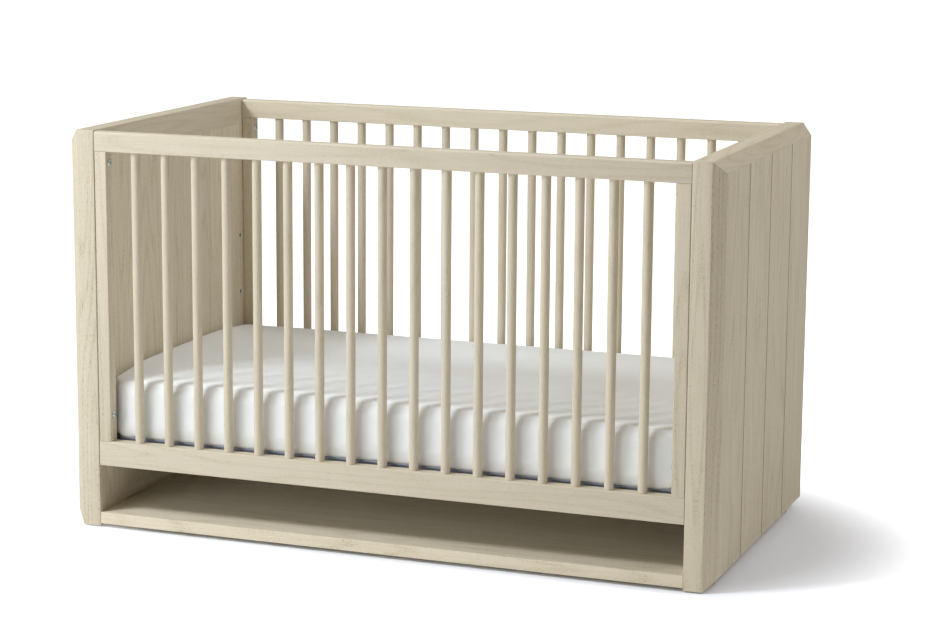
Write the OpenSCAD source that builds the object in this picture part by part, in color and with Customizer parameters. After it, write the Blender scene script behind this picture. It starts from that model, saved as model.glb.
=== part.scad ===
// Baby crib with two panelled ends, two spindle sides, a low storage shelf and a
// steel mattress support that bolts up at three heights. Millimetres, +Z up.
// The origin is on the floor under the middle of the crib. +X runs along the
// length and -Y is the front. Each end is a mitred frame with planks let into
// both of its faces.

/* [Sleeping space] */
// Clear length between the two ends
clear_length = 1330; // [1200:1:1600]
// Clear width between the two spindle sides
clear_width = 711; // [600:1:860]

/* [Ends] */
// Height of each end without its glides
end_height = 877; // [730:1:1060]
// Thickness of each end
end_thickness = 66; // [60:1:80]
// Visible width of the mitred posts and rails that frame each end
member_width = 60; // [56:1:75]
// Setback of the chamfer round the outside of each end, on both of its faces
end_chamfer = 25; // [18:1:30]
// Thickness of the planks on the outer face
outer_plank_t = 14; // [10:1:16]
// Thickness of the planks on the inner face
inner_plank_t = 14; // [10:1:18]
// Width of the hidden lip that stands behind the inner planks
lip_width = 12; // [8:1:20]
// Gap between neighbouring planks
plank_gap = 0.6; // [0.2:0.1:1.2]
// Chamfer on the long edges of the outer planks
groove_chamfer = 1.2; // [0.5:0.1:2.5]
// Chamfer on the long edges of the inner planks
seam_chamfer = 0.5; // [0.2:0.1:1]
// Height of the hidden cross battens inside each end
batten_height = 60; // [40:1:80]

/* [Spindle sides] */
// Thickness of the rails and stiles of each side
gate_thickness = 29; // [24:1:36]
// How far the face of a side lies behind the edge of the end
gate_setback = 1; // [0:0.5:6]
// Gap between a side and each end
gate_gap = 1; // [0.5:0.1:2]
// Height of the top rail
top_rail_h = 43; // [36:1:60]
// Height of the bottom rail
bottom_rail_h = 55; // [45:1:75]
// How far the top rail lies below the top of the ends
rail_drop = 3; // [0:0.5:20]
// Radius on the upper edges of the top rail
rail_round = 5; // [3:0.5:10]
// Width of the stiles
stile_width = 28; // [24:1:40]
// Diameter of the spindles
spindle_d = 20; // [16:1:24]
// Clear gap between neighbouring spindles
spindle_gap = 51.5; // [40:0.5:60]
// Depth of the blind holes that hold the spindles
spindle_seat = 12; // [8:1:20]
// Height of the upper gate bolts below the top of the top rail
upper_bolt_drop = 67; // [55:1:120]
// Height of the lower gate bolts above the top of the bottom rail
lower_bolt_rise = 59.5; // [30:0.5:120]

/* [Shelf] */
// Thickness of the shelf
shelf_t = 26; // [20:1:34]
// Clear height between the floor and the shelf
shelf_lift = 8; // [6:0.5:14]
// Clear height of the storage space over the shelf
storage_h = 106.5; // [90:0.5:160]
// Gap between the shelf and each end
shelf_gap = 0.5; // [0.3:0.1:1]

/* [Mattress support] */
// Height of the top of the support above the floor at its lowest level
support_level = 203; // [200:1:230]
// Height between two levels
level_step = 138; // [100:1:150]
// Height of the support bolts above the top of the support
hook_rise = 70; // [50:1:100]
// Distance from a spindle side to the support bolts
hook_inset = 15.5; // [14:0.5:24]
// Leg of the steel angle
angle_leg = 25; // [20:1:32]
// Thickness of the steel angle
angle_t = 2; // [1.5:0.5:3]
// Gap between the angle frame and each end
support_end_gap = 12; // [12:0.5:20]
// Gap between the angle frame and each spindle side
support_side_gap = 8; // [5:0.5:14]
// Thickness of the hook plates
hook_t = 3; // [2:0.5:3]
// Diameter of the cross rods
rod_d = 4; // [3:0.5:6]
// Diameter of the long wires
wire_d = 3; // [2:0.5:4]
// Distance between the cross rods
rod_pitch = 140; // [90:1:180]
// Distance between the long wires
wire_pitch = 84; // [60:1:100]
// Length of the tension springs
spring_length = 45; // [35:1:60]
// Outer diameter of the tension springs
spring_d = 10; // [8:0.5:12]

/* [Mattress] */
// Thickness of the dressed mattress
mattress_t = 137; // [100:1:152]
// Gap between the mattress and each end
mattress_end_gap = 7; // [5:0.5:14]
// Gap between the mattress and each spindle side
mattress_side_gap = 8.5; // [5:0.5:14]
// Radius of the corners of the mattress in plan
mattress_corner = 65; // [50:1:90]
// Thickness of the fitted sheet
sheet_t = 1.5; // [1:0.5:3]
// Width of the hem of the sheet under the mattress
sheet_hem = 70; // [40:1:120]

/* [Fixings] */
// Diameter of the machine bolts
bolt_d = 6; // [5:1:8]
// Diameter of the heads of the gate bolts
gate_head_d = 15.5; // [12:0.5:18]
// Diameter of the heads of the support bolts
support_head_d = 13; // [10:0.5:15]
// Height of the bolt heads
head_h = 3.5; // [2.5:0.5:4]
// Diameter of the threaded inserts
insert_d = 9.5; // [9:0.5:12]
// Length of the threaded inserts
insert_length = 15; // [12:1:20]
// Diameter of the wooden dowels
dowel_d = 8; // [6:1:10]
// Radial clearance of a glued or pressed fixing in its hole
fit = 0.1; // [0.05:0.05:0.2]
// Height of the glides under the ends
glide_h = 3; // [2:0.5:5]
// Diameter of the glides
glide_d = 28; // [20:1:40]

/* [Hidden] */

// Oak, steel, nylon and cloth as they look on the finished crib
oak = "#D9D1BC";
core_wood = "#C9B48C";
steel = "#B9BEC2";
dark_steel = "#5A5F66";
nylon = "#3A3A3C";
white_cloth = "#F0F1F0";
foam = "#E8E4DA";

plank_count = 4;
batten_count = 2;
level_count = 3;
arris = 1.2;
arc_steps = 6;
fastener_fn = 32;
round_fn = 48;

// Ends: w is measured outward from the inner face, u inward from the outer edge
end_depth = clear_width + 2 * (gate_thickness + gate_setback);
half_depth = end_depth / 2;
half_length = clear_length / 2;
end_base = glide_h;
end_top = end_base + end_height;
member_reach = member_width + lip_width;
outer_face_w = end_thickness - outer_plank_t;
outer_plank_pitch = (end_depth - 2 * end_chamfer) / plank_count;
batten_clear = end_height - 2 * member_reach;
corner_dowel_d = 10;
corner_dowel_length = 50;
corner_dowel_u = 30;
corner_dowel_rows = [22, 40];

// Spindle sides
gate_y = clear_width / 2 + gate_thickness / 2;
gate_half = half_length - gate_gap;
gate_top = end_top - rail_drop;
top_rail_z = gate_top - top_rail_h;
shelf_top = shelf_lift + shelf_t;
bottom_rail_z = shelf_top + storage_h;
bottom_rail_top = bottom_rail_z + bottom_rail_h;
stile_inner_x = gate_half - stile_width;
spindle_pitch = spindle_d + spindle_gap;
spindle_count = round((2 * stile_inner_x - spindle_gap) / spindle_pitch);
gate_bolt_heights = [bottom_rail_top + lower_bolt_rise, gate_top - upper_bolt_drop];
gate_pin_heights = [bottom_rail_z + bottom_rail_h / 2, top_rail_z + top_rail_h / 2];
stile_dowel_d = 12;
dowel_length = 30;
edge_round = 2;

// Shelf
shelf_half_x = half_length - shelf_gap;
shelf_half_y = half_depth - gate_setback;
cam_d = 15;
cam_h = 16;
cam_recess = 0.5;
cam_slot = 2;
cam_inset = 34;
stud_d = 6;
stud_reach = 12;
cam_edge = 85;
shelf_dowel_edge = 145;
glide_edge = 75;
glide_stem_d = 6;
glide_stem_length = 12;
shelf_glide_x = 330;
shelf_glide_edge = 180;

// Mattress support
support_half_x = half_length - support_end_gap;
support_half_y = clear_width / 2 - support_side_gap;
hook_y = clear_width / 2 - hook_inset;
hook_z = support_level + hook_rise;
hook_play = 0.5;
hook_outer_x = half_length - hook_play;
hook_inner_x = hook_outer_x - hook_t;
hook_head_gap = 0.4;
hook_slot_r = bolt_d / 2 + 0.4;
hook_edge = 12;
hook_foot_near = support_head_d / 2 + 5;
hook_foot_width = 30;
hook_tab_h = 19;
rivet_d = 5;
rivet_head_d = 9;
rivet_head_h = 1.5;
rivet_edge = 7;
rod_z = support_level - angle_t - rod_d / 2;
wire_z = rod_z - rod_d / 2 - max(wire_d / 2, spring_d / 2 + 0.5 - rod_d);
rod_end_y = support_half_y - angle_leg / 2;
spring_outer_x = support_half_x - angle_t;
wire_half_x = spring_outer_x - spring_length;
rod_count = 1 + 2 * floor((wire_half_x - 10) / rod_pitch);
wire_count = 2 * floor((support_half_y - angle_leg - wire_pitch / 2) / wire_pitch) + 2;

// Mattress
mattress_half_x = half_length - mattress_end_gap;
mattress_half_y = clear_width / 2 - mattress_side_gap;

// Points of an arc about [x, y] from angle a to angle b
function arc(x, y, r, a, b) = [
    for (i = [0 : arc_steps])
        let (t = a + (b - a) * i / arc_steps) [x + r * cos(t), y + r * sin(t)]
];

// Outline of a bar d deep and h high, with its own edge radius above and below
function bar_outline(d, h, r_top, r_low) = concat(
    arc(r_low, r_low, r_low, 180, 270),
    arc(d - r_low, r_low, r_low, 270, 360),
    arc(d - r_top, h - r_top, r_top, 0, 90),
    arc(r_top, h - r_top, r_top, 90, 180)
);

module for_ends() {
    children();
    mirror([1, 0, 0])
        children();
}

module for_sides() {
    children();
    mirror([0, 1, 0])
        children();
}

// Children are drawn for the right end and mirrored for the left one
module at_end(end) {
    mirror([end == "left" ? 1 : 0, 0, 0])
        children();
}

// Children are drawn for the front and mirrored for the back
module at_side(side) {
    mirror([0, side == "back" ? 1 : 0, 0])
        children();
}

// A cylinder along +X
module bar_x(r, length, fn = fastener_fn) {
    rotate([0, 90, 0])
        cylinder(r = r, h = length, $fn = fn);
}

// Straight rail along X, from -half to half, its outline in the YZ plane
module rail_x(half, outline) {
    translate([-half, 0, 0])
        rotate([90, 0, 90])
            linear_extrude(2 * half)
                polygon(outline);
}

// Keeps the length of a mitred bar: the bar narrows by its own width at both ends
module mitre_mask(length, width, depth) {
    translate([-1, 0, 0])
        rotate([90, 0, 90])
            linear_extrude(depth + 2)
                polygon([[0, 0], [width, width], [width, length - width], [0, length]]);
}

// ---- Ends ----

// Section of a frame member: x is w, outward from the inner face, y is u
module member_section() {
    polygon([
        [arris, 0],
        [end_thickness - end_chamfer, 0],
        [end_thickness, end_chamfer],
        [outer_face_w, end_chamfer],
        [outer_face_w, member_reach],
        [inner_plank_t, member_reach],
        [inner_plank_t, member_width],
        [0, member_width],
        [0, arris]
    ]);
}

// Mitred frame member along +Z with its outer edge on the Z axis
module frame_member(length) {
    intersection() {
        linear_extrude(length)
            member_section();
        mitre_mask(length, member_reach, end_thickness);
    }
}

// Puts a member up the front edge of the right end
module as_post() {
    translate([half_length, -half_depth, end_base])
        children();
}

// Puts a member along the bottom edge of the right end
module as_bottom_rail() {
    translate([half_length, -half_depth, end_base])
        mirror([0, 1, -1])
            children();
}

// Holes or dowels across the four mitres of the right end
module corner_dowel_set(r, length) {
    for (u = [0, 1], v = [0, 1], w = corner_dowel_rows)
        translate([
            half_length + w,
            (u * 2 - 1) * (half_depth - corner_dowel_u),
            v == 0 ? end_base + corner_dowel_u : end_top - corner_dowel_u
        ])
            rotate([u == v ? 45 : -45, 0, 0])
                cylinder(r = r, h = length, center = true, $fn = fastener_fn);
}

// Blind holes along X in the inner face of an end
module end_holes(r, depth, ys, zs) {
    for (y = ys, z = zs)
        translate([half_length - 1, y, z])
            bar_x(r, depth + 1);
}

module post(end, side) {
    level_heights = [for (i = [0 : level_count - 1]) hook_z + i * level_step];
    color(oak)
        at_end(end)
            at_side(side)
                difference() {
                    as_post()
                        frame_member(end_height);
                    corner_dowel_set(corner_dowel_d / 2 + fit, corner_dowel_length + 2);
                    end_holes(insert_d / 2 + fit, insert_length + 1, [-gate_y], gate_bolt_heights);
                    end_holes(dowel_d / 2 + fit, dowel_length / 2 + 1, [-gate_y], gate_pin_heights);
                    end_holes(insert_d / 2 + fit, insert_length + 1, [-hook_y], level_heights);
                }
}

module end_top_rail(end) {
    color(oak)
        at_end(end)
            difference() {
                translate([0, 0, end_base + end_top])
                    mirror([0, 0, 1])
                        as_bottom_rail()
                            frame_member(end_depth);
                corner_dowel_set(corner_dowel_d / 2 + fit, corner_dowel_length + 2);
            }
}

module end_bottom_rail(end) {
    shelf_z = shelf_lift + shelf_t / 2;
    color(oak)
        at_end(end)
            difference() {
                as_bottom_rail()
                    frame_member(end_depth);
                corner_dowel_set(corner_dowel_d / 2 + fit, corner_dowel_length + 2);
                end_holes(stud_d / 2 + fit, stud_reach + 1, shelf_cam_ys(), [shelf_z]);
                end_holes(dowel_d / 2 + fit, dowel_length / 2 + 1, shelf_dowel_ys(), [shelf_z]);
                for_sides()
                    translate([half_length + end_thickness / 2, glide_y(), end_base - 1])
                        cylinder(
                            r = glide_stem_d / 2 + fit,
                            h = glide_stem_length + 2,
                            $fn = fastener_fn
                        );
            }
}

// Plank number i of the outer face, counted from the front
module outer_plank(end, i) {
    y0 = -half_depth + end_chamfer + (i - 1) * outer_plank_pitch + plank_gap / 2;
    y1 = y0 + outer_plank_pitch - plank_gap;
    w0 = half_length + outer_face_w;
    w1 = half_length + end_thickness;
    c = groove_chamfer;
    color(oak)
        at_end(end)
            translate([0, 0, end_base + end_chamfer])
                linear_extrude(end_height - 2 * end_chamfer)
                    polygon([[w0, y0], [w0, y1], [w1 - c, y1], [w1, y1 - c], [w1, y0 + c], [w1 - c, y0]]);
}

// Plank number i of the inner face: its seams line up with the outer grooves
module inner_plank(end, i) {
    edge = half_depth - member_width;
    seam = plank_gap / 2;
    y0 = (i == 1 ? -edge : (i - 1 - plank_count / 2) * outer_plank_pitch + seam);
    y1 = (i == plank_count ? edge : (i - plank_count / 2) * outer_plank_pitch - seam);
    w0 = half_length;
    w1 = half_length + inner_plank_t;
    c = seam_chamfer;
    color(oak)
        at_end(end)
            translate([0, 0, end_base + member_width])
                linear_extrude(end_height - 2 * member_width)
                    polygon([[w1, y0], [w1, y1], [w0 + c, y1], [w0, y1 - c], [w0, y0 + c], [w0 + c, y0]]);
}

module core_battens(end) {
    width = end_depth - 2 * member_reach;
    color(core_wood)
        at_end(end)
            for (i = [1 : batten_count])
                translate([
                    half_length + inner_plank_t,
                    -width / 2,
                    end_base + member_reach + i * batten_clear / (batten_count + 1) - batten_height / 2
                ])
                    cube([outer_face_w - inner_plank_t, width, batten_height]);
}

module corner_dowels() {
    color(core_wood)
        for_ends()
            corner_dowel_set(corner_dowel_d / 2, corner_dowel_length);
}

// ---- Spindle sides ----

// X positions of the spindles
function spindle_xs() = [
    for (i = [0 : spindle_count - 1]) (i - (spindle_count - 1) / 2) * spindle_pitch
];

// Blind holes for the spindles between heights z0 and z1
module spindle_holes(z0, z1) {
    for (x = spindle_xs())
        translate([x, -gate_y, z0])
            cylinder(r = spindle_d / 2 + fit, h = z1 - z0, $fn = round_fn);
}

// Dowels or holes between the stiles and the rails of the front side
module stile_dowel_set(r, length) {
    for_ends()
        for (z = [bottom_rail_top, top_rail_z])
            translate([gate_half - stile_width / 2, -gate_y, z])
                cylinder(r = r, h = length, center = true, $fn = fastener_fn);
}

// Dowels or holes between the rails of the front side and the ends
module gate_pin_set(r, length) {
    for_ends()
        for (z = gate_pin_heights)
            translate([half_length - length / 2, -gate_y, z])
                bar_x(r, length);
}

module gate_top_rail(side) {
    color(oak)
        at_side(side)
            difference() {
                translate([0, -gate_y - gate_thickness / 2, top_rail_z])
                    rail_x(gate_half, bar_outline(gate_thickness, top_rail_h, rail_round, edge_round));
                spindle_holes(top_rail_z - 1, top_rail_z + spindle_seat + fit);
                stile_dowel_set(stile_dowel_d / 2 + fit, dowel_length + 1);
                gate_pin_set(dowel_d / 2 + fit, dowel_length + 1);
            }
}

module gate_bottom_rail(side) {
    color(oak)
        at_side(side)
            difference() {
                translate([0, -gate_y - gate_thickness / 2, bottom_rail_z])
                    rail_x(gate_half, bar_outline(gate_thickness, bottom_rail_h, edge_round, edge_round));
                spindle_holes(bottom_rail_top - spindle_seat - fit, bottom_rail_top + 1);
                stile_dowel_set(stile_dowel_d / 2 + fit, dowel_length + 1);
                gate_pin_set(dowel_d / 2 + fit, dowel_length + 1);
            }
}

module gate_stile(side, end) {
    color(oak)
        at_side(side)
            at_end(end)
                difference() {
                    translate([stile_inner_x, -gate_y - gate_thickness / 2, bottom_rail_top])
                        linear_extrude(top_rail_z - bottom_rail_top)
                            polygon(bar_outline(stile_width, gate_thickness, edge_round, edge_round));
                    stile_dowel_set(stile_dowel_d / 2 + fit, dowel_length + 1);
                    for (z = gate_bolt_heights)
                        translate([stile_inner_x - 1, -gate_y, z])
                            bar_x(bolt_d / 2 + fit, stile_width + 2);
                }
}

module spindles(side) {
    color(oak)
        at_side(side)
            for (x = spindle_xs())
                translate([x, -gate_y, bottom_rail_top - spindle_seat])
                    cylinder(
                        r = spindle_d / 2,
                        h = top_rail_z - bottom_rail_top + 2 * spindle_seat,
                        $fn = round_fn
                    );
}

module stile_dowels() {
    color(core_wood)
        for_sides()
            stile_dowel_set(stile_dowel_d / 2, dowel_length);
}

module gate_pins() {
    color(core_wood)
        for_sides()
            gate_pin_set(dowel_d / 2, dowel_length);
}

// Bolt along +X with the underside of its domed head at the origin
module bolt(head_d, length) {
    socket = 4;
    difference() {
        union() {
            bar_x(bolt_d / 2, length);
            rotate([0, -90, 0])
                rotate_extrude($fn = round_fn)
                    polygon(concat(
                        [[0, 0], [head_d / 2, 0]],
                        arc(head_d / 2 - head_h * 0.7, head_h * 0.3, head_h * 0.7, 0, 90),
                        [[0, head_h]]
                    ));
        }
        translate([-head_h - 1, 0, 0])
            rotate([0, 90, 0])
                cylinder(r = socket / sqrt(3), h = head_h - 0.5 + 1, $fn = 6);
    }
}

// Threaded insert along +X, open at the origin
module insert() {
    difference() {
        bar_x(insert_d / 2, insert_length);
        translate([-1, 0, 0])
            bar_x(bolt_d / 2 + fit, insert_length + 2);
    }
}

module gate_bolts() {
    color(steel)
        for_ends()
            for_sides()
                for (z = gate_bolt_heights)
                    translate([stile_inner_x, -gate_y, z])
                        bolt(gate_head_d, stile_width + gate_gap + insert_length - 2);
}

module gate_inserts() {
    color(steel)
        for_ends()
            for_sides()
                for (z = gate_bolt_heights)
                    translate([half_length, -gate_y, z])
                        insert();
}

// ---- Shelf and glides ----

// Y positions of the cams and of the dowels at each end of the shelf
function shelf_cam_ys() = [-shelf_half_y + cam_edge, 0, shelf_half_y - cam_edge];
function shelf_dowel_ys() = [-shelf_half_y + shelf_dowel_edge, shelf_half_y - shelf_dowel_edge];
function glide_y() = half_depth - glide_edge;

module shelf_deck() {
    color(oak)
        difference() {
            translate([0, -shelf_half_y, shelf_lift])
                rail_x(shelf_half_x, bar_outline(2 * shelf_half_y, shelf_t, arris, arris));
            for_ends() {
                for (y = shelf_cam_ys()) {
                    translate([half_length - cam_inset, y, shelf_lift - 1])
                        cylinder(r = cam_d / 2 + fit, h = 1 + cam_h + 2 * cam_recess, $fn = fastener_fn);
                    translate([half_length - cam_inset, y, shelf_lift + shelf_t / 2])
                        bar_x(stud_d / 2 + fit, cam_inset + 1);
                }
                for (y = shelf_dowel_ys())
                    translate([half_length - dowel_length / 2 - 1, y, shelf_lift + shelf_t / 2])
                        bar_x(dowel_d / 2 + fit, dowel_length);
            }
            for_ends()
                for_sides()
                    translate([shelf_glide_x, shelf_half_y - shelf_glide_edge, shelf_lift - 1])
                        cylinder(
                            r = glide_stem_d / 2 + fit,
                            h = glide_stem_length + 2,
                            $fn = fastener_fn
                        );
        }
}

module shelf_cams() {
    color(steel)
        for_ends()
            for (y = shelf_cam_ys())
                difference() {
                    translate([half_length - cam_inset, y, shelf_lift + cam_recess])
                        cylinder(r = cam_d / 2, h = cam_h, $fn = fastener_fn);
                    translate([half_length - cam_inset - stud_d / 2 - fit, y, shelf_lift + shelf_t / 2])
                        bar_x(stud_d / 2 + fit, cam_d);
                    translate([half_length - cam_inset - cam_d / 4, y - cam_slot / 2, shelf_lift])
                        cube([cam_d / 2, cam_slot, cam_recess + cam_slot]);
                }
}

module shelf_cam_studs() {
    color(steel)
        for_ends()
            for (y = shelf_cam_ys())
                translate([half_length - cam_inset - stud_d / 2, y, shelf_lift + shelf_t / 2])
                    bar_x(stud_d / 2, cam_inset + stud_d / 2 + stud_reach);
}

module shelf_dowels() {
    color(core_wood)
        for_ends()
            for (y = shelf_dowel_ys())
                translate([half_length - dowel_length / 2, y, shelf_lift + shelf_t / 2])
                    bar_x(dowel_d / 2, dowel_length);
}

// Disc with a stem, standing on the floor
module glide(height) {
    cylinder(r = glide_d / 2, h = height, $fn = round_fn);
    cylinder(r = glide_stem_d / 2, h = height + glide_stem_length, $fn = fastener_fn);
}

module end_glides() {
    color(nylon)
        for_ends()
            for_sides()
                translate([half_length + end_thickness / 2, glide_y(), 0])
                    glide(end_base);
}

module shelf_glides() {
    color(nylon)
        for_ends()
            for_sides()
                translate([shelf_glide_x, shelf_half_y - shelf_glide_edge, 0])
                    glide(shelf_lift);
}

// ---- Mattress support ----

module height_inserts() {
    color(steel)
        for_ends()
            for_sides()
                for (i = [0 : level_count - 1])
                    translate([half_length, -hook_y, hook_z + i * level_step])
                        insert();
}

module support_bolts() {
    head_x = hook_inner_x - hook_head_gap;
    color(steel)
        for_ends()
            for_sides()
                translate([head_x, -hook_y, hook_z])
                    bolt(support_head_d, half_length - head_x + insert_length - 2);
}

// Mitred steel angle along +Z: x runs down from its flat face, y inward
module angle_bar(length) {
    intersection() {
        linear_extrude(length)
            polygon([
                [0, 0],
                [angle_leg, 0],
                [angle_leg, angle_t],
                [angle_t, angle_t],
                [angle_t, angle_leg],
                [0, angle_leg]
            ]);
        mitre_mask(length, angle_leg, angle_leg);
    }
}

module support_rail(side) {
    color(dark_steel)
        at_side(side)
            translate([-support_half_x, -support_half_y, support_level])
                rotate([0, 90, 0])
                    angle_bar(2 * support_half_x);
}

// Y positions of the rivets of one hook
function rivet_ys() = [
    hook_y - hook_foot_near - rivet_edge,
    hook_y - hook_foot_near - hook_foot_width + rivet_edge
];

// Height of the rivets
function rivet_z() = support_level - angle_leg + hook_t + hook_tab_h / 2;

// Holes for the rivets of the right end
module rivet_holes() {
    for_sides()
        for (y = rivet_ys())
            translate([spring_outer_x - 1, y, rivet_z()])
                bar_x(rivet_d / 2 + fit, angle_t + hook_t + 2);
}

module support_bar(end) {
    color(dark_steel)
        at_end(end)
            difference() {
                translate([support_half_x, -support_half_y, support_level])
                    rotate([0, 90, 90])
                        angle_bar(2 * support_half_y);
                rivet_holes();
            }
}

module support_cross_rods() {
    color(dark_steel)
        for (i = [0 : rod_count - 1])
            translate([(i - (rod_count - 1) / 2) * rod_pitch, rod_end_y, rod_z])
                rotate([90, 0, 0])
                    cylinder(r = rod_d / 2, h = 2 * rod_end_y, $fn = fastener_fn);
}

// Y positions of the long wires
function wire_ys() = [for (i = [0 : wire_count - 1]) (i - (wire_count - 1) / 2) * wire_pitch];

module support_long_wires() {
    color(dark_steel)
        for (y = wire_ys())
            translate([-wire_half_x, y, wire_z])
                bar_x(wire_d / 2, 2 * wire_half_x);
}

// The closed outside of each close-wound tension spring
module support_springs() {
    color(steel)
        for_ends()
            for (y = wire_ys())
                translate([wire_half_x, y, wire_z])
                    bar_x(spring_d / 2, spring_length);
}

// Hook plate with a slot open below, on a foot and a tab riveted to the angle
module hook() {
    foot_y1 = hook_y - hook_foot_near;
    foot_y0 = foot_y1 - hook_foot_width;
    foot_z = support_level - angle_leg;
    difference() {
        translate([hook_inner_x, foot_y0, foot_z])
            cube([hook_t, hook_y + hook_edge - foot_y0, hook_z + hook_edge - foot_z]);
        translate([hook_inner_x - 1, hook_y, hook_z])
            bar_x(hook_slot_r, hook_t + 2);
        translate([hook_inner_x - 1, hook_y - hook_slot_r, foot_z - 1])
            cube([hook_t + 2, 2 * hook_slot_r, hook_z - foot_z + 1]);
    }
    translate([support_half_x, foot_y0, foot_z])
        cube([hook_outer_x - support_half_x, hook_foot_width, hook_t]);
    difference() {
        translate([support_half_x, foot_y0, foot_z])
            cube([hook_t, hook_foot_width, hook_t + hook_tab_h]);
        rivet_holes();
    }
}

module support_hooks() {
    color(dark_steel)
        for_ends()
            for_sides()
                hook();
}

module support_rivets() {
    color(steel)
        for_ends()
            for_sides()
                for (y = rivet_ys()) {
                    translate([spring_outer_x - rivet_head_h, y, rivet_z()])
                        bar_x(rivet_d / 2, angle_t + hook_t + 2 * rivet_head_h);
                    translate([spring_outer_x - rivet_head_h, y, rivet_z()])
                        bar_x(rivet_head_d / 2, rivet_head_h);
                    translate([support_half_x + hook_t, y, rivet_z()])
                        bar_x(rivet_head_d / 2, rivet_head_h);
                }
}

// ---- Mattress ----

// Upright block with rounded corners in plan
module soft_block(half_x, half_y, r, height) {
    linear_extrude(height)
        polygon(concat(
            arc(half_x - r, half_y - r, r, 0, 90),
            arc(r - half_x, half_y - r, r, 90, 180),
            arc(r - half_x, r - half_y, r, 180, 270),
            arc(half_x - r, r - half_y, r, 270, 360)
        ));
}

// The mattress, inset from its dressed size by the cover around it
module mattress_block(inset) {
    translate([0, 0, support_level + inset])
        soft_block(
            mattress_half_x - inset,
            mattress_half_y - inset,
            mattress_corner - inset,
            mattress_t - 2 * inset
        );
}

module mattress() {
    color(foam)
        mattress_block(sheet_t);
}

module fitted_sheet() {
    color(white_cloth)
        difference() {
            mattress_block(0);
            mattress_block(sheet_t);
            translate([0, 0, support_level - 1])
                soft_block(
                    mattress_half_x - sheet_hem,
                    mattress_half_y - sheet_hem,
                    mattress_corner,
                    sheet_t + 1.5
                );
        }
}

post("left", "front");  // left_front_post
post("left", "back");  // left_back_post
end_top_rail("left");  // left_top_rail
end_bottom_rail("left");  // left_bottom_rail
outer_plank("left", 1);  // left_outer_plank_1
outer_plank("left", 2);  // left_outer_plank_2
outer_plank("left", 3);  // left_outer_plank_3
outer_plank("left", 4);  // left_outer_plank_4
inner_plank("left", 1);  // left_inner_plank_1
inner_plank("left", 2);  // left_inner_plank_2
inner_plank("left", 3);  // left_inner_plank_3
inner_plank("left", 4);  // left_inner_plank_4
core_battens("left");  // left_core_battens
post("right", "front");  // right_front_post
post("right", "back");  // right_back_post
end_top_rail("right");  // right_top_rail
end_bottom_rail("right");  // right_bottom_rail
outer_plank("right", 1);  // right_outer_plank_1
outer_plank("right", 2);  // right_outer_plank_2
outer_plank("right", 3);  // right_outer_plank_3
outer_plank("right", 4);  // right_outer_plank_4
inner_plank("right", 1);  // right_inner_plank_1
inner_plank("right", 2);  // right_inner_plank_2
inner_plank("right", 3);  // right_inner_plank_3
inner_plank("right", 4);  // right_inner_plank_4
core_battens("right");  // right_core_battens
corner_dowels();
gate_top_rail("front");  // front_top_rail
gate_bottom_rail("front");  // front_bottom_rail
gate_stile("front", "left");  // front_left_stile
gate_stile("front", "right");  // front_right_stile
spindles("front");  // front_spindles
gate_top_rail("back");  // back_top_rail
gate_bottom_rail("back");  // back_bottom_rail
gate_stile("back", "left");  // back_left_stile
gate_stile("back", "right");  // back_right_stile
spindles("back");  // back_spindles
stile_dowels();
gate_pins();
gate_bolts();
gate_inserts();
shelf_deck();
shelf_cams();
shelf_cam_studs();
shelf_dowels();
end_glides();
shelf_glides();
height_inserts();
support_bolts();
support_rail("front");  // support_front_rail
support_rail("back");  // support_back_rail
support_bar("left");  // support_left_bar
support_bar("right");  // support_right_bar
support_cross_rods();
support_long_wires();
support_springs();
support_hooks();
support_rivets();
mattress();
fitted_sheet();
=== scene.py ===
"""Looks of the baby crib: limed oak ends and spindle sides, a sprung steel mattress support, and
a mattress in a white fitted sheet."""
import math
import random

import bmesh
import bpy
from mathutils import Euler, Matrix, Vector, noise


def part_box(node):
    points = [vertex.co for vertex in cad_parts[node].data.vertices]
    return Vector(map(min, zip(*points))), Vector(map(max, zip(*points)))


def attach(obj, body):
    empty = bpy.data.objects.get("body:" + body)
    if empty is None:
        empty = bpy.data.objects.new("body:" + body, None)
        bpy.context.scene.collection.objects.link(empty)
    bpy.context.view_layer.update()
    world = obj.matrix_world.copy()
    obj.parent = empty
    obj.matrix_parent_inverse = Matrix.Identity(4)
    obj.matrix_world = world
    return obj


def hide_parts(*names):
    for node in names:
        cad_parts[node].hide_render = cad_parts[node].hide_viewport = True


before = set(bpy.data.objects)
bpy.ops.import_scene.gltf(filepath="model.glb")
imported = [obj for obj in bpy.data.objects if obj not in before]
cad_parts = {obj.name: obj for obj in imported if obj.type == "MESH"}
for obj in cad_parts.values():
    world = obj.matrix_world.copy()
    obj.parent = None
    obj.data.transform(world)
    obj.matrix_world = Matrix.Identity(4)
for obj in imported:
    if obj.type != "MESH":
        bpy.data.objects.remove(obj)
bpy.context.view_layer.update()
scene = bpy.context.scene
random.seed(11)

MM = 0.001
QUARTER = math.pi / 2


def clamp(value):
    """The value, held between 0 and 1."""
    return min(1.0, max(0.0, value))


# ---------------------------------------------------------------- making materials

PLUS, TIMES, TIMES_PLUS = ({"operation": name} for name in ("ADD", "MULTIPLY", "MULTIPLY_ADD"))
SINE, POWER, LARGER = ({"operation": name} for name in ("SINE", "POWER", "MAXIMUM"))
# a noise texture stays between these two values nearly everywhere
LOW, HIGH = 0.3, 0.7


def linear(code):
    """An sRGB hex code as a linear colour with alpha."""
    parts = [int(code[i:i + 2], 16) / 255 for i in (1, 3, 5)]
    return tuple(c / 12.92 if c <= 0.04045 else ((c + 0.055) / 1.055) ** 2.4
                 for c in parts) + (1.0,)


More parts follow.
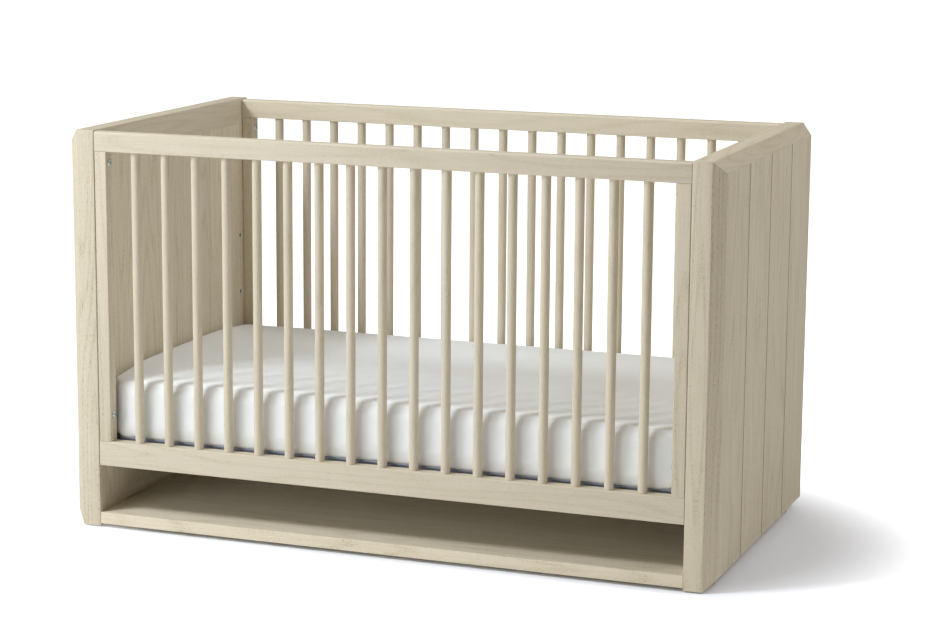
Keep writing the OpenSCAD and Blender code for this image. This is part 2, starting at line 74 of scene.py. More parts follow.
def add(tree, kind, settings=None, **links):
    """Adds a node. Settings are its properties, where stops are the (place, hex code) pairs of a
    colour ramp. Links are its inputs by name, or by number as i0, i1: each is a value, a socket,
    or a node whose first output it takes."""
    node = tree.nodes.new(kind)
    for key, value in (settings or {}).items():
        if key == "stops":
            band = node.color_ramp.elements
            while len(band) < len(value):
                band.new(0.5)
            for element, (place, code) in zip(band, value):
                element.position, element.color = place, linear(code)
        else:
            setattr(node, key, value)
    for key, value in links.items():
        numbered = key[0] == "i" and key[1:].isdigit()
        socket = node.inputs[int(key[1:]) if numbered else key.replace("_", " ")]
        if isinstance(value, bpy.types.Node):
            value = value.outputs[0]
        if isinstance(value, bpy.types.NodeSocket):
            tree.links.new(value, socket)
        else:
            socket.default_value = value
    return node


def new_material(name):
    """An empty node material, its tree, and the place on the object that its patterns read."""
    made = bpy.data.materials.new(name)
    made.use_nodes = True
    tree = made.node_tree
    tree.nodes.clear()
    return made, tree, add(tree, "ShaderNodeTexCoord").outputs["Object"]


# ---------------------------------------------------------------- oak

# each part of the oak's figure: millimetres across the grain and along it
SWELL, FIBRE, SHADE, PORE, PORE_PATCH = (85, 1100), (1.2, 95), (22, 700), (0.8, 6.5), (20, 170)
# radians of growth rings in the whole range of the swell, which sets them about 10 mm apart
RINGS = 95.0
# how far the fibre shifts a ring, in radians
RAGGED = 1.6
# the power that narrows the early wood of a ring to a line
LINE_POWER = 4.0
# how far the pores gather along the rings and in patches, and the sums at which a pore starts
# and is at its darkest
ALONG_RINGS, IN_PATCHES, PORE_STARTS, PORE_DARKEST = 0.055, 0.1, 0.645, 0.73
# how much of the light each part of the figure takes
LINE_DEPTH, FIBRE_DEPTH, SHADE_DEPTH, PORE_DEPTH = 0.075, 0.2, 0.07, 0.24
# the height of the fibre, and how deep a pore is sunk as a share of it
RELIEF, PORE_SUNK = 0.3 * MM, 0.6
# the seal is smoother between the fibres than on them
SEAL_SMOOTH, SEAL_ROUGH = 0.48, 0.64
# one board may be this much lighter or darker than another
BOARD_SPREAD = 0.05


def oak(name, turn, figure=1.0, light=1.0):
    """Pale limed oak, planed and sealed matt: straight growth bands with a few arches, fine fibre,
    and short open pores in the early wood that stay darker than the lime. turn lays the grain on
    Z, figure is how strongly the grain shows, and light lifts the whole tone as painted light."""
    made, tree, place = new_material(name)
    board = add(tree, "ShaderNodeAttribute",
                {"attribute_type": "OBJECT", "attribute_name": "board"}).outputs["Vector"]
    tint = add(tree, "ShaderNodeAttribute",
               {"attribute_type": "OBJECT", "attribute_name": "tint"}).outputs["Fac"]
    turned = add(tree, "ShaderNodeMapping", Vector=place, Rotation=turn)
    log = add(tree, "ShaderNodeVectorMath", PLUS, i0=turned, i1=board)

    def pattern(size, **detail):
        """A noise drawn out along the grain, at a size in millimetres across and along it."""
        across, along = (1 / (length * MM) for length in size)
        scaled = add(tree, "ShaderNodeVectorMath", TIMES, i0=log, i1=(across, across, along))
        return add(tree, "ShaderNodeTexNoise", Vector=scaled, Scale=1.0, **detail)

    # growth rings, bent into arches by a slow swell of the log
    swell = pattern(SWELL, Detail=1.0, Roughness=0.35)
    fibre = pattern(FIBRE, Detail=3.0, Roughness=0.6)
    shade = pattern(SHADE, Detail=2.0, Roughness=0.5)
    rings = add(tree, "ShaderNodeMath", TIMES, i0=swell, i1=RINGS)
    phase = add(tree, "ShaderNodeMath", TIMES_PLUS, i0=fibre, i1=RAGGED, i2=rings)
    wave = add(tree, "ShaderNodeMath", SINE, i0=phase)
    early = add(tree, "ShaderNodeMapRange", Value=wave, From_Min=-1.0)
    line = add(tree, "ShaderNodeMath", POWER, i0=early, i1=LINE_POWER)
    # open pores are 0.3 mm wide: drawn about 0.8 mm wide, so that they show from across a room.
    # They gather along the rings and in patches.
    speck = pattern(PORE, Detail=2.0, Roughness=0.55)
    patch = pattern(PORE_PATCH, Detail=2.0)
    rows = add(tree, "ShaderNodeMath", TIMES_PLUS, i0=line, i1=ALONG_RINGS, i2=speck)
    rows = add(tree, "ShaderNodeMath", TIMES_PLUS, i0=patch, i1=IN_PATCHES, i2=rows)
    pore = add(tree, "ShaderNodeMapRange", Value=rows, From_Min=PORE_STARTS, From_Max=PORE_DARKEST)

    # the lime evens the colour: each part of the figure takes a few per cent off the light
    furrow = add(tree, "ShaderNodeMapRange", Value=fibre, From_Min=LOW, From_Max=HIGH,
                 To_Min=FIBRE_DEPTH, To_Max=0.0)
    cloud = add(tree, "ShaderNodeMapRange", Value=shade, From_Min=LOW, From_Max=HIGH)
    depth = add(tree, "ShaderNodeMath", TIMES_PLUS, i0=line, i1=LINE_DEPTH, i2=furrow)
    depth = add(tree, "ShaderNodeMath", TIMES_PLUS, i0=cloud, i1=SHADE_DEPTH, i2=depth)
    depth = add(tree, "ShaderNodeMath", TIMES_PLUS, i0=pore, i1=PORE_DEPTH, i2=depth)
    tone = add(tree, "ShaderNodeMath", TIMES, i0=depth, i1=figure)
    wood = add(tree, "ShaderNodeValToRGB", {"stops": (
        (0.0, "#E3D9C6"), (0.22, "#D3C8B0"), (0.45, "#A7997D"), (0.7, "#7C6D53"))}, Fac=tone)
    value = add(tree, "ShaderNodeMath", TIMES_PLUS, i0=tint, i1=BOARD_SPREAD, i2=light)
    toned = add(tree, "ShaderNodeHueSaturation", Value=value, Color=wood)

    # the fibre stands up a little and the pores are sunk, under a matt seal
    height = add(tree, "ShaderNodeMath", TIMES_PLUS, i0=pore, i1=-PORE_SUNK, i2=fibre)
    bump = add(tree, "ShaderNodeBump", Strength=0.25, Distance=RELIEF, Height=height)
    rough = add(tree, "ShaderNodeMapRange", Value=fibre, From_Min=LOW, From_Max=HIGH,
                To_Min=SEAL_SMOOTH, To_Max=SEAL_ROUGH)
    shader = add(tree, "ShaderNodeBsdfPrincipled", Base_Color=toned, Roughness=rough, Normal=bump)
    shader.inputs["IOR"].default_value = 1.45
    shader.inputs["Specular IOR Level"].default_value = 0.35
    add(tree, "ShaderNodeOutputMaterial", Surface=shader)
    return made


# posts, planks and stiles: the grain runs up, and its bands and pores show plainly
OAK_UPRIGHT = oak("limed_oak_upright_grain", (0.0, 0.0, 0.0), 0.9)
# rails along the crib: calm straight grain, hardly more than a change of tone
OAK_LONG = oak("limed_oak_long_grain", (0.0, -QUARTER, 0.0), 0.65)
# the shelf: a veneered board with a wide figure, its whole tone lifted a little as painted light,
# for a board the lamps leave too dark
OAK_SHELF = oak("limed_oak_veneered_shelf_painted_light", (0.0, -QUARTER, 0.0), 0.85, 1.13)
# rails across the ends: the grain runs from front to back
OAK_DEEP = oak("limed_oak_cross_grain", (QUARTER, 0.0, 0.0), 0.75)
# spindles: turned from straight fine-grained wood, nearly even in tone
OAK_TURNED = oak("limed_oak_turned_spindle", (0.0, 0.0, 0.0), 0.6)


# ---------------------------------------------------------------- other finishes

# a plain finish drifts in colour over this many millimetres, and in roughness by this share
DRIFT_MM, ROUGH_SHARE = 25, 0.2


def plain(name, code, roughness, metallic=0.0, mottle=0.1, grain_mm=0.6, bump_mm=0.02):
    """A simple finish: one colour that drifts by the share mottle from place to place, and a fine
    grain of the given size in its roughness and in its bump."""
    made, tree, place = new_material(name)
    fine = add(tree, "ShaderNodeTexNoise", Vector=place, Scale=1 / (grain_mm * MM), Detail=3.0)
    broad = add(tree, "ShaderNodeTexNoise", Vector=place, Scale=1 / (DRIFT_MM * MM), Detail=3.0)
    level = add(tree, "ShaderNodeMapRange", Value=broad, From_Min=LOW, From_Max=HIGH,
                To_Min=1 - mottle, To_Max=1 + mottle)
    toned = add(tree, "ShaderNodeHueSaturation", Value=level, Color=linear(code))
    rough = add(tree, "ShaderNodeMapRange", Value=fine, To_Min=roughness * (1 - ROUGH_SHARE),
                To_Max=roughness * (1 + ROUGH_SHARE))
    bump = add(tree, "ShaderNodeBump", Strength=0.3, Distance=bump_mm * MM, Height=fine)
    shader = add(tree, "ShaderNodeBsdfPrincipled", Base_Color=toned, Roughness=rough, Normal=bump)
    shader.inputs["Metallic"].default_value = metallic
    add(tree, "ShaderNodeOutputMaterial", Surface=shader)
    return made


# bare planed pine inside the ends: yellower than the oak, and dull
CORE = plain("pine_core_planed", "#C9AE82", 0.7, mottle=0.08, grain_mm=2.0)
# beech dowels, pressed with flutes: pinkish brown, a little smoother than the pine
BEECH = plain("beech_dowel_fluted", "#C8A274", 0.6, mottle=0.08, grain_mm=1.0)
# bolts, inserts and springs: bright zinc plating, with small sharp highlights
ZINC = plain("zinc_plated_steel_bright", "#DCE6EA", 0.22, metallic=1.0, mottle=0.06, grain_mm=0.5)
# the support's angles: a smooth metallic powder coat, which shows as a cool blue-grey line
PAINTED = plain("steel_blue_grey_powder_coat", "#A2AEC6", 0.2, metallic=0.75, mottle=0.05,
                grain_mm=0.5, bump_mm=0.05)
# glides: moulded off-white plastic with a dull skin
NYLON = plain("nylon_glide_moulded", "#D8D6CE", 0.5, mottle=0.03)
# painted shade in the grooves: a flat brown on the sides of the V grooves, standing in for the
# shade of deep kerfs; it draws the thin lines
GROOVE_PAINTED_SHADE = plain("painted_shade_brown_in_the_groove", "#8F7448", 0.6, mottle=0.12, grain_mm=2.0)


# cloth drifts in brightness over this many millimetres, by this share
CLOUD_MM, CLOUD_SHARE = 90, 0.015


def cloth(name, code, thread_mm, sheen, rough):
    """Woven cotton: a plain weave of crossing threads, with a little cloudiness and soft sheen."""
    made, tree, place = new_material(name)
    scaled = add(tree, "ShaderNodeVectorMath", {"operation": "SCALE"}, i0=place,
                 Scale=2 * math.pi / (thread_mm * MM))
    part = add(tree, "ShaderNodeSeparateXYZ", Vector=scaled)
    waves = [add(tree, "ShaderNodeMath", SINE, i0=part.outputs[axis]) for axis in "XYZ"]
    first = add(tree, "ShaderNodeMath", PLUS, i0=waves[0], i1=waves[1])
    weave = add(tree, "ShaderNodeMath", PLUS, i0=first, i1=waves[2])
    cloud = add(tree, "ShaderNodeTexNoise", Vector=place, Scale=1 / (CLOUD_MM * MM), Detail=3.0)
    level = add(tree, "ShaderNodeMapRange", Value=cloud, From_Min=LOW, From_Max=HIGH,
                To_Min=1 - CLOUD_SHARE, To_Max=1 + CLOUD_SHARE)
    toned = add(tree, "ShaderNodeHueSaturation", Value=level, Color=linear(code))
    bump = add(tree, "ShaderNodeBump", Strength=0.12, Distance=0.2 * MM, Height=weave)
    shader = add(tree, "ShaderNodeBsdfPrincipled", Base_Color=toned, Normal=bump)
    shader.inputs["Roughness"].default_value = rough
    shader.inputs["Sheen Weight"].default_value = sheen
    shader.inputs["Sheen Roughness"].default_value = 0.5
    shader.inputs["Specular IOR Level"].default_value = 0.2
    add(tree, "ShaderNodeOutputMaterial", Surface=shader)
    return made


# the fitted sheet: bleached cotton percale, pure matt white. Its threads are 0.2 mm apart, and
# are drawn 1.2 mm apart so that the weave shows close to
SHEET = cloth("cotton_percale_white_woven", "#F5F7F8", 1.2, 0.15, 0.85)
# the mattress cover under it: a coarser ticking, warmer and duller than the sheet
TICKING = cloth("mattress_ticking_woven", "#DAD8D0", 2.0, 0.1, 0.9)


# ---------------------------------------------------------------- boards

# every node that isn't limed oak
NOT_OAK = {
    "corner_dowels": BEECH, "stile_dowels": BEECH, "shelf_dowels": BEECH,
    "left_core_battens": CORE, "right_core_battens": CORE,
    "gate_pins": ZINC, "gate_bolts": ZINC, "gate_inserts": ZINC, "height_inserts": ZINC,
    "shelf_cams": ZINC, "shelf_cam_studs": ZINC, "end_glides": NYLON, "shelf_glides": NYLON,
    "support_bolts": ZINC, "support_front_rail": PAINTED, "support_back_rail": PAINTED,
    "support_left_bar": PAINTED, "support_right_bar": PAINTED, "support_cross_rods": ZINC,
    "support_long_wires": ZINC, "support_springs": ZINC, "support_hooks": ZINC,
    "support_rivets": ZINC, "mattress": TICKING, "fitted_sheet": SHEET,
}


def grain_of(name):
    """The oak material whose grain runs along this board."""
    if "spindles" in name:
        return OAK_TURNED
    if name == "shelf_deck":
        return OAK_SHELF
    if "post" in name or "plank" in name or "stile" in name:
        return OAK_UPRIGHT
    if name.startswith(("left_", "right_")):
        return OAK_DEEP
    return OAK_LONG


def paint(piece, material):
    """One material on the whole piece."""
    piece.data.materials.clear()
    piece.data.materials.append(material)


# each board comes from another place in the log, up to 3 m away, and has its own tint
for name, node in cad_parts.items():
    paint(node, NOT_OAK.get(name) or grain_of(name))
    node["board"] = tuple(random.uniform(-3.0, 3.0) for _ in range(3))
    node["tint"] = random.uniform(-1.0, 1.0)


def piece_from(shape, name, material, body, soften=math.radians(30)):
    """A finished piece at the origin, made of one bmesh, riding on a body. Edges that turn by
    more than soften stay sharp."""
    mesh = bpy.data.meshes.new(name)
    shape.to_mesh(mesh)
    shape.free()
    mesh.shade_smooth()
    mesh.set_sharp_from_angle(angle=soften)
    piece = bpy.data.objects.new(name, mesh)
    scene.collection.objects.link(piece)
    paint(piece, material)
    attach(piece, body)
    return piece


# a node's mesh is loose triangles: points and faces this close to each other are one
SAME_POINT, SAME_FACE = 0.002 * MM, math.radians(0.4)
# shorter edges, and those that turn less, are left as they are
SHORTEST_EASED, LEAST_TURN = 12 * MM, math.radians(35)


def eased(name, arris):
    """A board with its long sharp edges eased by a pass of fine paper, in place of its node."""
    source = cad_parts[name]
    board = bmesh.new()
    board.from_mesh(source.data)
    bmesh.ops.remove_doubles(board, verts=board.verts, dist=SAME_POINT)
    bmesh.ops.dissolve_limit(board, angle_limit=SAME_FACE, verts=board.verts, edges=board.edges)
    crisp = [e for e in board.edges if len(e.link_faces) == 2 and e.is_convex
             and e.calc_length() > SHORTEST_EASED and e.calc_face_angle() > LEAST_TURN]
    bmesh.ops.bevel(board, geom=crisp, offset=arris, segments=2, profile=0.5, affect="EDGES",
                    material=-1, clamp_overlap=True)
    piece = piece_from(board, name + "_eased", grain_of(name), "crib")
    piece["board"], piece["tint"] = source["board"], source["tint"]
    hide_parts(name)
    return piece


# the grooves between the planks lie this near to the middle of an end. The joints with the posts
# are further out, and get no painted shade.
GROOVES_WITHIN = 300 * MM


def paint_shade_in_grooves(plank):
    """Puts the painted groove shade on a plank's slanted edges, which are the sides of the V
    grooves.
    """
    plank.data.materials.append(GROOVE_PAINTED_SHADE)
    for face in plank.data.polygons:
        slanted = 0.2 < abs(face.normal.y) < 0.98 and abs(face.normal.x) > 0.1
        if slanted and abs(face.center.y) < GROOVES_WITHIN:
            face.material_index = 1


# the inner planks' seams are closed, so their edges are nearly sharp, and the sides of the crib,
# which hands hold, are eased the most. Spindles are round and have no edge to ease.
SHARP_ARRIS, ARRIS, HELD_ARRIS = 0.15 * MM, 0.6 * MM, 0.9 * MM
for name in sorted(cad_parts):
    if name in NOT_OAK or "spindles" in name:
        continue
    held = name.startswith(("front", "back"))
    board = eased(name, SHARP_ARRIS if "inner" in name else HELD_ARRIS if held else ARRIS)
    # only the outer planks get painted shade in their V grooves
    if "outer" in name:
        paint_shade_in_grooves(board)


# ---------------------------------------------------------------- springs of the mattress support

COIL_RADIUS, WIRE, TURNS, STEPS = 4.0 * MM, 1.8 * MM, 17, 12
COIL_LENGTH, COIL_INSET = 30 * MM, 8 * MM
# the springs of one end are 84 mm apart: this is half of that
HALF_PITCH = 42 * MM


def wire_ring(shape, centre):
    """The round section of a spring wire that runs along Y at centre."""
    turned = (Matrix.Translation(centre)
              @ Vector((0, 1, 0)).to_track_quat("Z", "Y").to_matrix().to_4x4())
    ring = bmesh.ops.create_circle(shape, segments=7, radius=WIRE / 2, matrix=turned)["verts"]
    return ring + list({e for v in ring for e in v.link_edges})


def one_spring(outer, level):
    """A close-wound steel coil that ends at outer, with a hook ring at each end, as a mesh."""
    coil = bmesh.new()
    start = Vector((outer, 0, level))
    section = wire_ring(coil, start + Vector((0, 0, COIL_RADIUS)))
    bmesh.ops.spin(coil, geom=section, cent=start, axis=(1, 0, 0),
                   dvec=(-COIL_LENGTH / (TURNS * STEPS), 0, 0), angle=2 * math.pi * TURNS,
                   steps=TURNS * STEPS)
    for along in (COIL_RADIUS, -COIL_LENGTH - COIL_RADIUS):
        eye = start + Vector((along, 0, 0))
        section = wire_ring(coil, eye + Vector((COIL_RADIUS, 0, 0)))
        bmesh.ops.spin(coil, geom=section, cent=eye, axis=(0, 0, 1), angle=2 * math.pi,
                       steps=16, use_merge=True)
    bmesh.ops.holes_fill(coil, edges=[e for e in coil.edges if e.is_boundary], sides=8)
    bmesh.ops.recalc_face_normals(coil, faces=coil.faces)
    mesh = bpy.data.meshes.new("spring")
    coil.to_mesh(mesh)
    coil.free()
    return mesh


def springs():
    """The sixteen tension springs: eight at each end of the support."""
    low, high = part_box("support_springs")
    one = one_spring(high.x - COIL_INSET, (low.z + high.z) / 2)
    coils = bmesh.new()
    for half_turn in (0.0, math.pi):
        for row in range(-7, 8, 2):
            before = len(coils.verts)
            coils.from_mesh(one)
            coils.verts.ensure_lookup_table()
            new = coils.verts[before:]
            bmesh.ops.rotate(coils, verts=new, cent=(0, 0, 0),
                             matrix=Matrix.Rotation(half_turn, 3, "Z"))
            bmesh.ops.translate(coils, verts=new, vec=(0, row * HALF_PITCH, 0))
    bpy.data.meshes.remove(one)
    piece = piece_from(coils, "support_springs_wound", ZINC, "mattress_support", math.radians(60))
    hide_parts("support_springs")


springs()


# ---------------------------------------------------------------- mattress

bed_low, bed_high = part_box("mattress")
# the block stands this far outside the mattress's solid, at the ends and at the long sides
WIDER_X, WIDER_Y = 2.5 * MM, 3.5 * MM
# and it stands this far clear of the solid's underside, and over its top
CLEAR_BELOW, OVER_TOP = 0.5 * MM, 0.2 * MM
CORNER, BLOCK_EDGE, VOXEL, PRESSURE = 42 * MM, 11 * MM, 8 * MM, 4.0


def soft_block(half_x, half_y, low, high, corner, edge):
    """A block with round corners and soft edges, before its filling presses out."""
    block = bmesh.new()
    bmesh.ops.create_cube(block, size=1.0)
    bmesh.ops.scale(block, vec=(2 * half_x, 2 * half_y, high - low), verts=block.verts)
    bmesh.ops.translate(block, vec=(0, 0, (low + high) / 2), verts=block.verts)
    upright = [e for e in block.edges if abs(e.verts[0].co.z - e.verts[1].co.z) > MM]
    bmesh.ops.bevel(block, geom=upright, offset=corner, segments=10, profile=0.5,
                    affect="EDGES", material=-1)
    rims = [e for e in block.edges if e.calc_face_angle() > math.radians(60)]
    bmesh.ops.bevel(block, geom=rims, offset=edge, segments=4, profile=0.5,
                    affect="EDGES", material=-1)
    return block


def as_made(piece):
    """The piece's mesh with its modifiers in it."""
    graph = bpy.context.evaluated_depsgraph_get()
    return bpy.data.meshes.new_from_object(piece.evaluated_get(graph))


def filled(block, voxel, push, limit):
    """A block remeshed and pressed out from within by its filling, each point by at most
    limit(normal). The flat top and bottom are held by the firm core, so the sides take the push."""
    mesh = bpy.data.meshes.new("block")
    block.to_mesh(mesh)
    block.free()
    trial = bpy.data.objects.new("block", mesh)
    scene.collection.objects.link(trial)
    remesh = trial.modifiers.new("remesh", "REMESH")
    remesh.mode, remesh.voxel_size = "VOXEL", voxel
    trial.data = as_made(trial)
    trial.modifiers.clear()
    rest = [v.co.copy() for v in trial.data.vertices]
    facing = [v.normal.copy() for v in trial.data.vertices]
    held = trial.vertex_groups.new(name="tufted")
    held.add([k for k, normal in enumerate(facing) if abs(normal.z) > 0.8], 1.0, "REPLACE")
    pressing = trial.modifiers.new("cloth", "CLOTH").settings
    pressing.use_pressure, pressing.uniform_pressure_force = True, push
    pressing.vertex_group_mass = "tufted"
    pressing.effector_weights.gravity = 0.0
    for step in range(1, 21):
        scene.frame_set(step)
    trial.data = as_made(trial)
    trial.modifiers.clear()
    scene.frame_set(1)
    for v, start, normal in zip(trial.data.vertices, rest, facing):
        outward = (v.co - start).dot(normal)
        v.co = start + min(max(outward, 0.0), limit(normal)) * normal
    shape = bmesh.new()
    shape.from_mesh(trial.data)
    bpy.data.objects.remove(trial)
    return shape


# how far the filling may press the cover out, on each side
GIVE_BELOW, GIVE_ABOVE, GIVE_LONG_SIDE, GIVE_END = 0.3 * MM, 0.5 * MM, 4.0 * MM, 3.0 * MM


def give(normal):
    """How far the filling may press out a point of the cover that faces along normal."""
    if abs(normal.z) > 0.5:
        return GIVE_BELOW if normal.z < 0 else GIVE_ABOVE
    return GIVE_LONG_SIDE if abs(normal.y) > abs(normal.x) else GIVE_END


# the part of the bed that counts as its corner, and how far the corner's pull reaches from it
CORNER_SIZE, CORNER_REACH = 70 * MM, 150 * MM


def near_corner(point):
    """1 at the round corners, falling to 0 over the reach of their pull."""
    along = Vector((max(0.0, bed_high.x - CORNER_SIZE - abs(point.x)),
                    max(0.0, bed_high.y - CORNER_SIZE - abs(point.y))))
    return max(0.0, 1 - along.length / CORNER_REACH)


def from_side(point):
    """How far a point is outside the block's round-cornered plan, and the way out."""
    out = Vector((abs(point.x) - bed_high.x - WIDER_X + CORNER,
                  abs(point.y) - bed_high.y - WIDER_Y + CORNER))
    beyond = Vector((max(0.0, out.x), max(0.0, out.y)))
    if beyond.length > 0:
        way, far = beyond.normalized(), beyond.length - CORNER
    else:
        way, far = Vector((1, 0)) if out.x > out.y else Vector((0, 1)), max(out) - CORNER
    return far, Vector((math.copysign(way.x, point.x), math.copysign(way.y, point.y), 0.0))


# the lower edge is a superellipse of this power in a square of this size
HIP, EDGE = 5, 14 * MM
# the side's lowest part is pressed out by FLARE, over FLARE_HEIGHT
FLARE, FLARE_HEIGHT = 3.5 * MM, 40 * MM
# the top falls by CROWN towards the long sides, starting FLAT from the middle
CROWN, FLAT, CROWN_WIDTH = 9 * MM, 150 * MM, 200 * MM
# it rises by ROLL where it butts against the ends, over ROLL_LENGTH, in the middle of their width
ROLL, ROLL_FROM, ROLL_LENGTH, ROLL_HALF_WIDTH = 4 * MM, 500 * MM, 150 * MM, 300 * MM
# its corners are sunk, the back ones only by a share of that
SUNK, SUNK_AT_BACK = 4 * MM, 0.2
# the edge hangs over the support's rails by HANG, starting OVER_RAIL outside the solid
HANG, OVER_RAIL, RAIL_EDGE = 9.5 * MM, 2.5 * MM, 3 * MM


def settle(shape):
    """The weight presses the lower edge out nearly square, the edge hangs a little over the steel
    rails, and the top rolls up at the ends and falls to the long sides and to the corners."""
    height = bed_high.z - bed_low.z
    for v in shape.verts:
        above = v.co.z - bed_low.z
        far, way = from_side(v.co)
        across, down = (far + EDGE) / EDGE, (EDGE - above) / EDGE
        v.co += way * (FLARE * clamp(across) * clamp(1 - above / FLARE_HEIGHT))
        if across > 0 and down > 0:
            size = math.hypot(across, down)
            squarer = ((across / size) ** HIP + (down / size) ** HIP) ** (-1 / HIP) - 1
            v.co += way * (across * squarer * EDGE)
            v.co.z -= down * squarer * EDGE
        lift = max(0.0, above / height) ** 2
        fall = clamp((abs(v.co.y) - FLAT) / CROWN_WIDTH)
        sunk = SUNK * (1.0 if v.co.y < 0 else SUNK_AT_BACK)
        butted = (clamp((abs(v.co.x) - ROLL_FROM) / ROLL_LENGTH)
                  * max(0.0, 1 - (v.co.y / ROLL_HALF_WIDTH) ** 4))
        v.co.z += (ROLL * butted - CROWN * fall ** 2 - sunk * near_corner(v.co) ** 2) * lift
        past_rail = (abs(v.co.y) - bed_high.y - OVER_RAIL) / RAIL_EDGE
        v.co.z -= HANG * clamp(past_rail) * max(0.0, down)


block = soft_block(bed_high.x + WIDER_X, bed_high.y + WIDER_Y, bed_low.z + CLEAR_BELOW,
                   bed_high.z + OVER_TOP, CORNER, BLOCK_EDGE)
core = filled(block, VOXEL, PRESSURE, give)
settle(core)
cover = core.copy()
mattress = piece_from(core, "mattress_foam_core", TICKING, "mattress", math.radians(80))
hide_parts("mattress")


# ---------------------------------------------------------------- fitted sheet

# the cloth lies this far off the mattress, is this thick, and goes this far under it
STAND_OFF, CLOTH, HEM = 1.3 * MM, 0.6 * MM, 70 * MM
# upright folds at the lower edge: their distance, their depth, the height that they reach and
# over which they fade. Heights are shrunk by UPRIGHT, which draws the folds out.
FOLD, FOLD_DEPTH, FOLDS_TOP, FOLDS_FADE, UPRIGHT = 17 * MM, 2.0 * MM, 75 * MM, 70 * MM, 0.22
# the share of that depth along the sides, and what the corners add to it
FOLDED, FOLDED_AT_CORNER = 0.4, 1.3
# creases that run to a corner of the top, and the slow slack of the sides
CREASE, CREASE_DEPTH, SLACK, SLACK_DEPTH = 26 * MM, 1.1 * MM, 110 * MM, 0.8 * MM
# how near to the solid's sides the support's rails hold the cloth up, and how far below the
# solid it may lie there
RAIL_REACH, LIES_BELOW = 3 * MM, 1.2 * MM


def pucker(point, normal):
    """How far the cloth stands off at a point, where the elastic below gathers it into upright
    folds and the corners pull it into creases."""
    corner = near_corner(point)
    if normal.z > 0.6:
        side = Vector((math.copysign(1, point.x), math.copysign(1, point.y)))
        across = (point.x * side.x - point.y * side.y) / CREASE
        pulled = noise.noise(Vector((across, point.z * 3, side.x + 3 * side.y)))
        return CREASE_DEPTH * pulled * corner
    low = clamp((bed_low.z + FOLDS_TOP - point.z) / FOLDS_FADE)
    fold = noise.noise(Vector((point.x, point.y, point.z * UPRIGHT)) / FOLD)
    slack = noise.noise(Vector((point.x, point.y, point.z * 0.5)) / SLACK)
    share = low * low * (FOLDED + FOLDED_AT_CORNER * corner)
    return FOLD_DEPTH * share * fold + SLACK_DEPTH * slack


def under_hem(face):
    """Whether a face of the cover is under the mattress, inside the sheet's hem."""
    middle = face.calc_center_median()
    return (face.normal.z < -0.7 and middle.z < bed_low.z + 4 * MM
            and abs(middle.x) < bed_high.x - HEM and abs(middle.y) < bed_high.y - HEM)


bmesh.ops.delete(cover, geom=[f for f in cover.faces if under_hem(f)], context="FACES")
cover.normal_update()
for v in cover.verts:
    v.co += v.normal * (STAND_OFF + pucker(v.co, v.normal))
    # over the support's rails the sheet lies on the steel
    if abs(v.co.y) < bed_high.y + RAIL_REACH:
        v.co.z = max(v.co.z, bed_low.z - LIES_BELOW)
sheet = piece_from(cover, "fitted_sheet_stretched", SHEET, "mattress", math.radians(80))
thick = sheet.modifiers.new("cloth_thickness", "SOLIDIFY")
thick.thickness, thick.offset = CLOTH, -1.0
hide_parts("fitted_sheet")


# ---------------------------------------------------------------- camera and light

# a long lens from the front right, at the height of a standing grown-up's eyes
lens = bpy.data.cameras.new("camera")
lens.sensor_width, lens.lens = 36.0, 98.48
lens.shift_x, lens.shift_y = 0.0263, 0.0127
lens.clip_end = 100.0
camera = bpy.data.objects.new("camera", lens)
camera.location = (2.0101, -5.2598, 1.5094)
camera.rotation_euler = Euler([math.radians(a) for a in (79.29, -0.32, 20.96)])
scene.collection.objects.link(camera)
scene.camera = camera
scene.view_settings.view_transform = "Standard"

CENTRE = Vector((0.0, 0.0, 0.45))


def softbox(name, place, size, power, colour):
    """A square soft light at place, turned to the middle of the crib."""
    light = bpy.data.lights.new(name, "AREA")
    light.shape, light.size, light.energy, light.color = "SQUARE", size, power, colour
    lamp = bpy.data.objects.new(name, light)
    lamp.location = place
    lamp.rotation_euler = (Vector(place) - CENTRE).to_track_quat("Z", "Y").to_euler()
    scene.collection.objects.link(lamp)


# place in metres, size in metres, power in watts, colour
softbox("key_light", (-2.7, -2.5, 3.6), 1.1, 131.0, (0.94, 1.0, 1.06))
softbox("front_fill", (-3.0, -5.5, 1.8), 2.6, 80.0, (0.94, 0.99, 1.05))
softbox("high_fill", (3.2, 0.3, 3.4), 2.4, 42.0, (0.95, 1.0, 1.06))
softbox("side_fill", (3.4, 2.6, 1.4), 1.6, 10.0, (0.95, 1.0, 1.07))
softbox("ceiling_fill", (0.0, 0.0, 4.0), 2.5, 22.0, (0.96, 1.0, 1.05))

# a faint warm light from all round, and a white backdrop
world = bpy.data.worlds.new("studio_air")
world.use_nodes = True
air = world.node_tree
air.nodes.clear()
backdrop = add(air, "ShaderNodeBackground", Color=(1.0, 1.0, 1.0, 1.0), Strength=1.0)
around = add(air, "ShaderNodeBackground", Color=(1.15, 0.97, 0.72, 1.0), Strength=0.18)
seen = add(air, "ShaderNodeLightPath").outputs["Is Camera Ray"]
both = add(air, "ShaderNodeMixShader", i0=seen, i1=around, i2=backdrop)
add(air, "ShaderNodeOutputWorld", Surface=both)
scene.world = world


# ---------------------------------------------------------------- floor

FLOOR_REACH = 40.0
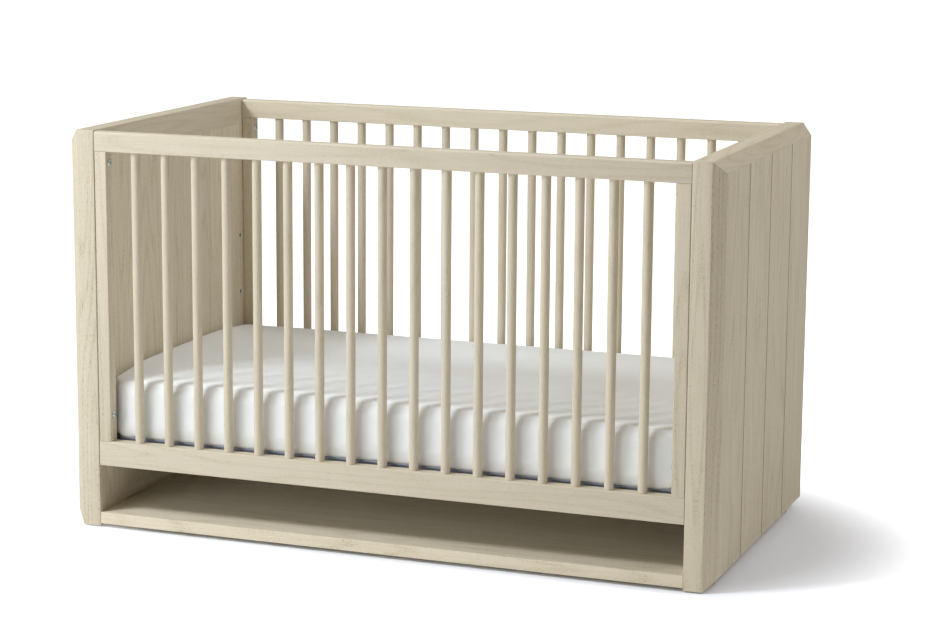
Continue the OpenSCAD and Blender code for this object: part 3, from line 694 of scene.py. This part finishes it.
# the painted glow that fades the crib's shadow begins and is full at these distances from the
# crib's middle, measured on an oval
PAINTED_GLOW_FROM, PAINTED_GLOW_FULL = 0.64, 1.07
OVAL_SHIFT, OVAL_SCALE = (-0.06, 0.02, 0.0), (0.86, 1.25, 1.0)
# in front it begins under the crib's front edge, and is full a hand's width further on
FRONT_FULL, FRONT_FROM = -0.48, -0.375
SMOOTH = {"interpolation_type": "SMOOTHSTEP"}


def floor_material():
    """A matt white sweep. The camera sees it with a painted glow that whitens it a step away from
    the crib and in front, so that only the near part of the crib's shadow shows on it."""
    made, tree, place = new_material("studio_floor_white_painted_glow")
    oval = add(tree, "ShaderNodeMapping", Vector=place, Location=OVAL_SHIFT, Scale=OVAL_SCALE)
    away = add(tree, "ShaderNodeVectorMath", {"operation": "LENGTH"}, i0=oval).outputs["Value"]
    around_it = add(tree, "ShaderNodeMapRange", SMOOTH, Value=away, From_Min=PAINTED_GLOW_FROM,
                    From_Max=PAINTED_GLOW_FULL)
    forward = add(tree, "ShaderNodeSeparateXYZ", Vector=place).outputs["Y"]
    ahead = add(tree, "ShaderNodeMapRange", SMOOTH, Value=forward, From_Min=FRONT_FULL,
                From_Max=FRONT_FROM, To_Min=1.0, To_Max=0.0)
    painted_glow_mask = add(tree, "ShaderNodeMath", LARGER, i0=around_it, i1=ahead)
    matt = add(tree, "ShaderNodeBsdfDiffuse", Color=linear("#F4F4F4"))
    # a little cooler than white, so that the shadow is a plain grey under the warm light
    bright = add(tree, "ShaderNodeBsdfDiffuse", Color=(1.0, 1.03, 1.12, 1.0))
    # painted glow: light that only the camera sees, rising away from the crib, so that the crib's
    # shadow fades out
    painted_glow = add(tree, "ShaderNodeEmission", Strength=painted_glow_mask)
    floor_with_painted_glow = add(tree, "ShaderNodeAddShader", i0=bright, i1=painted_glow)
    seen_by_camera = add(tree, "ShaderNodeLightPath").outputs["Is Camera Ray"]
    shown = add(tree, "ShaderNodeMixShader", i0=seen_by_camera, i1=matt, i2=floor_with_painted_glow)
    add(tree, "ShaderNodeOutputMaterial", Surface=shown)
    return made


ground = bmesh.new()
bmesh.ops.create_grid(ground, x_segments=1, y_segments=1, size=FLOOR_REACH)
ground_mesh = bpy.data.meshes.new("floor")
ground.to_mesh(ground_mesh)
ground.free()
floor = bpy.data.objects.new("floor", ground_mesh)
scene.collection.objects.link(floor)
paint(floor, floor_material())
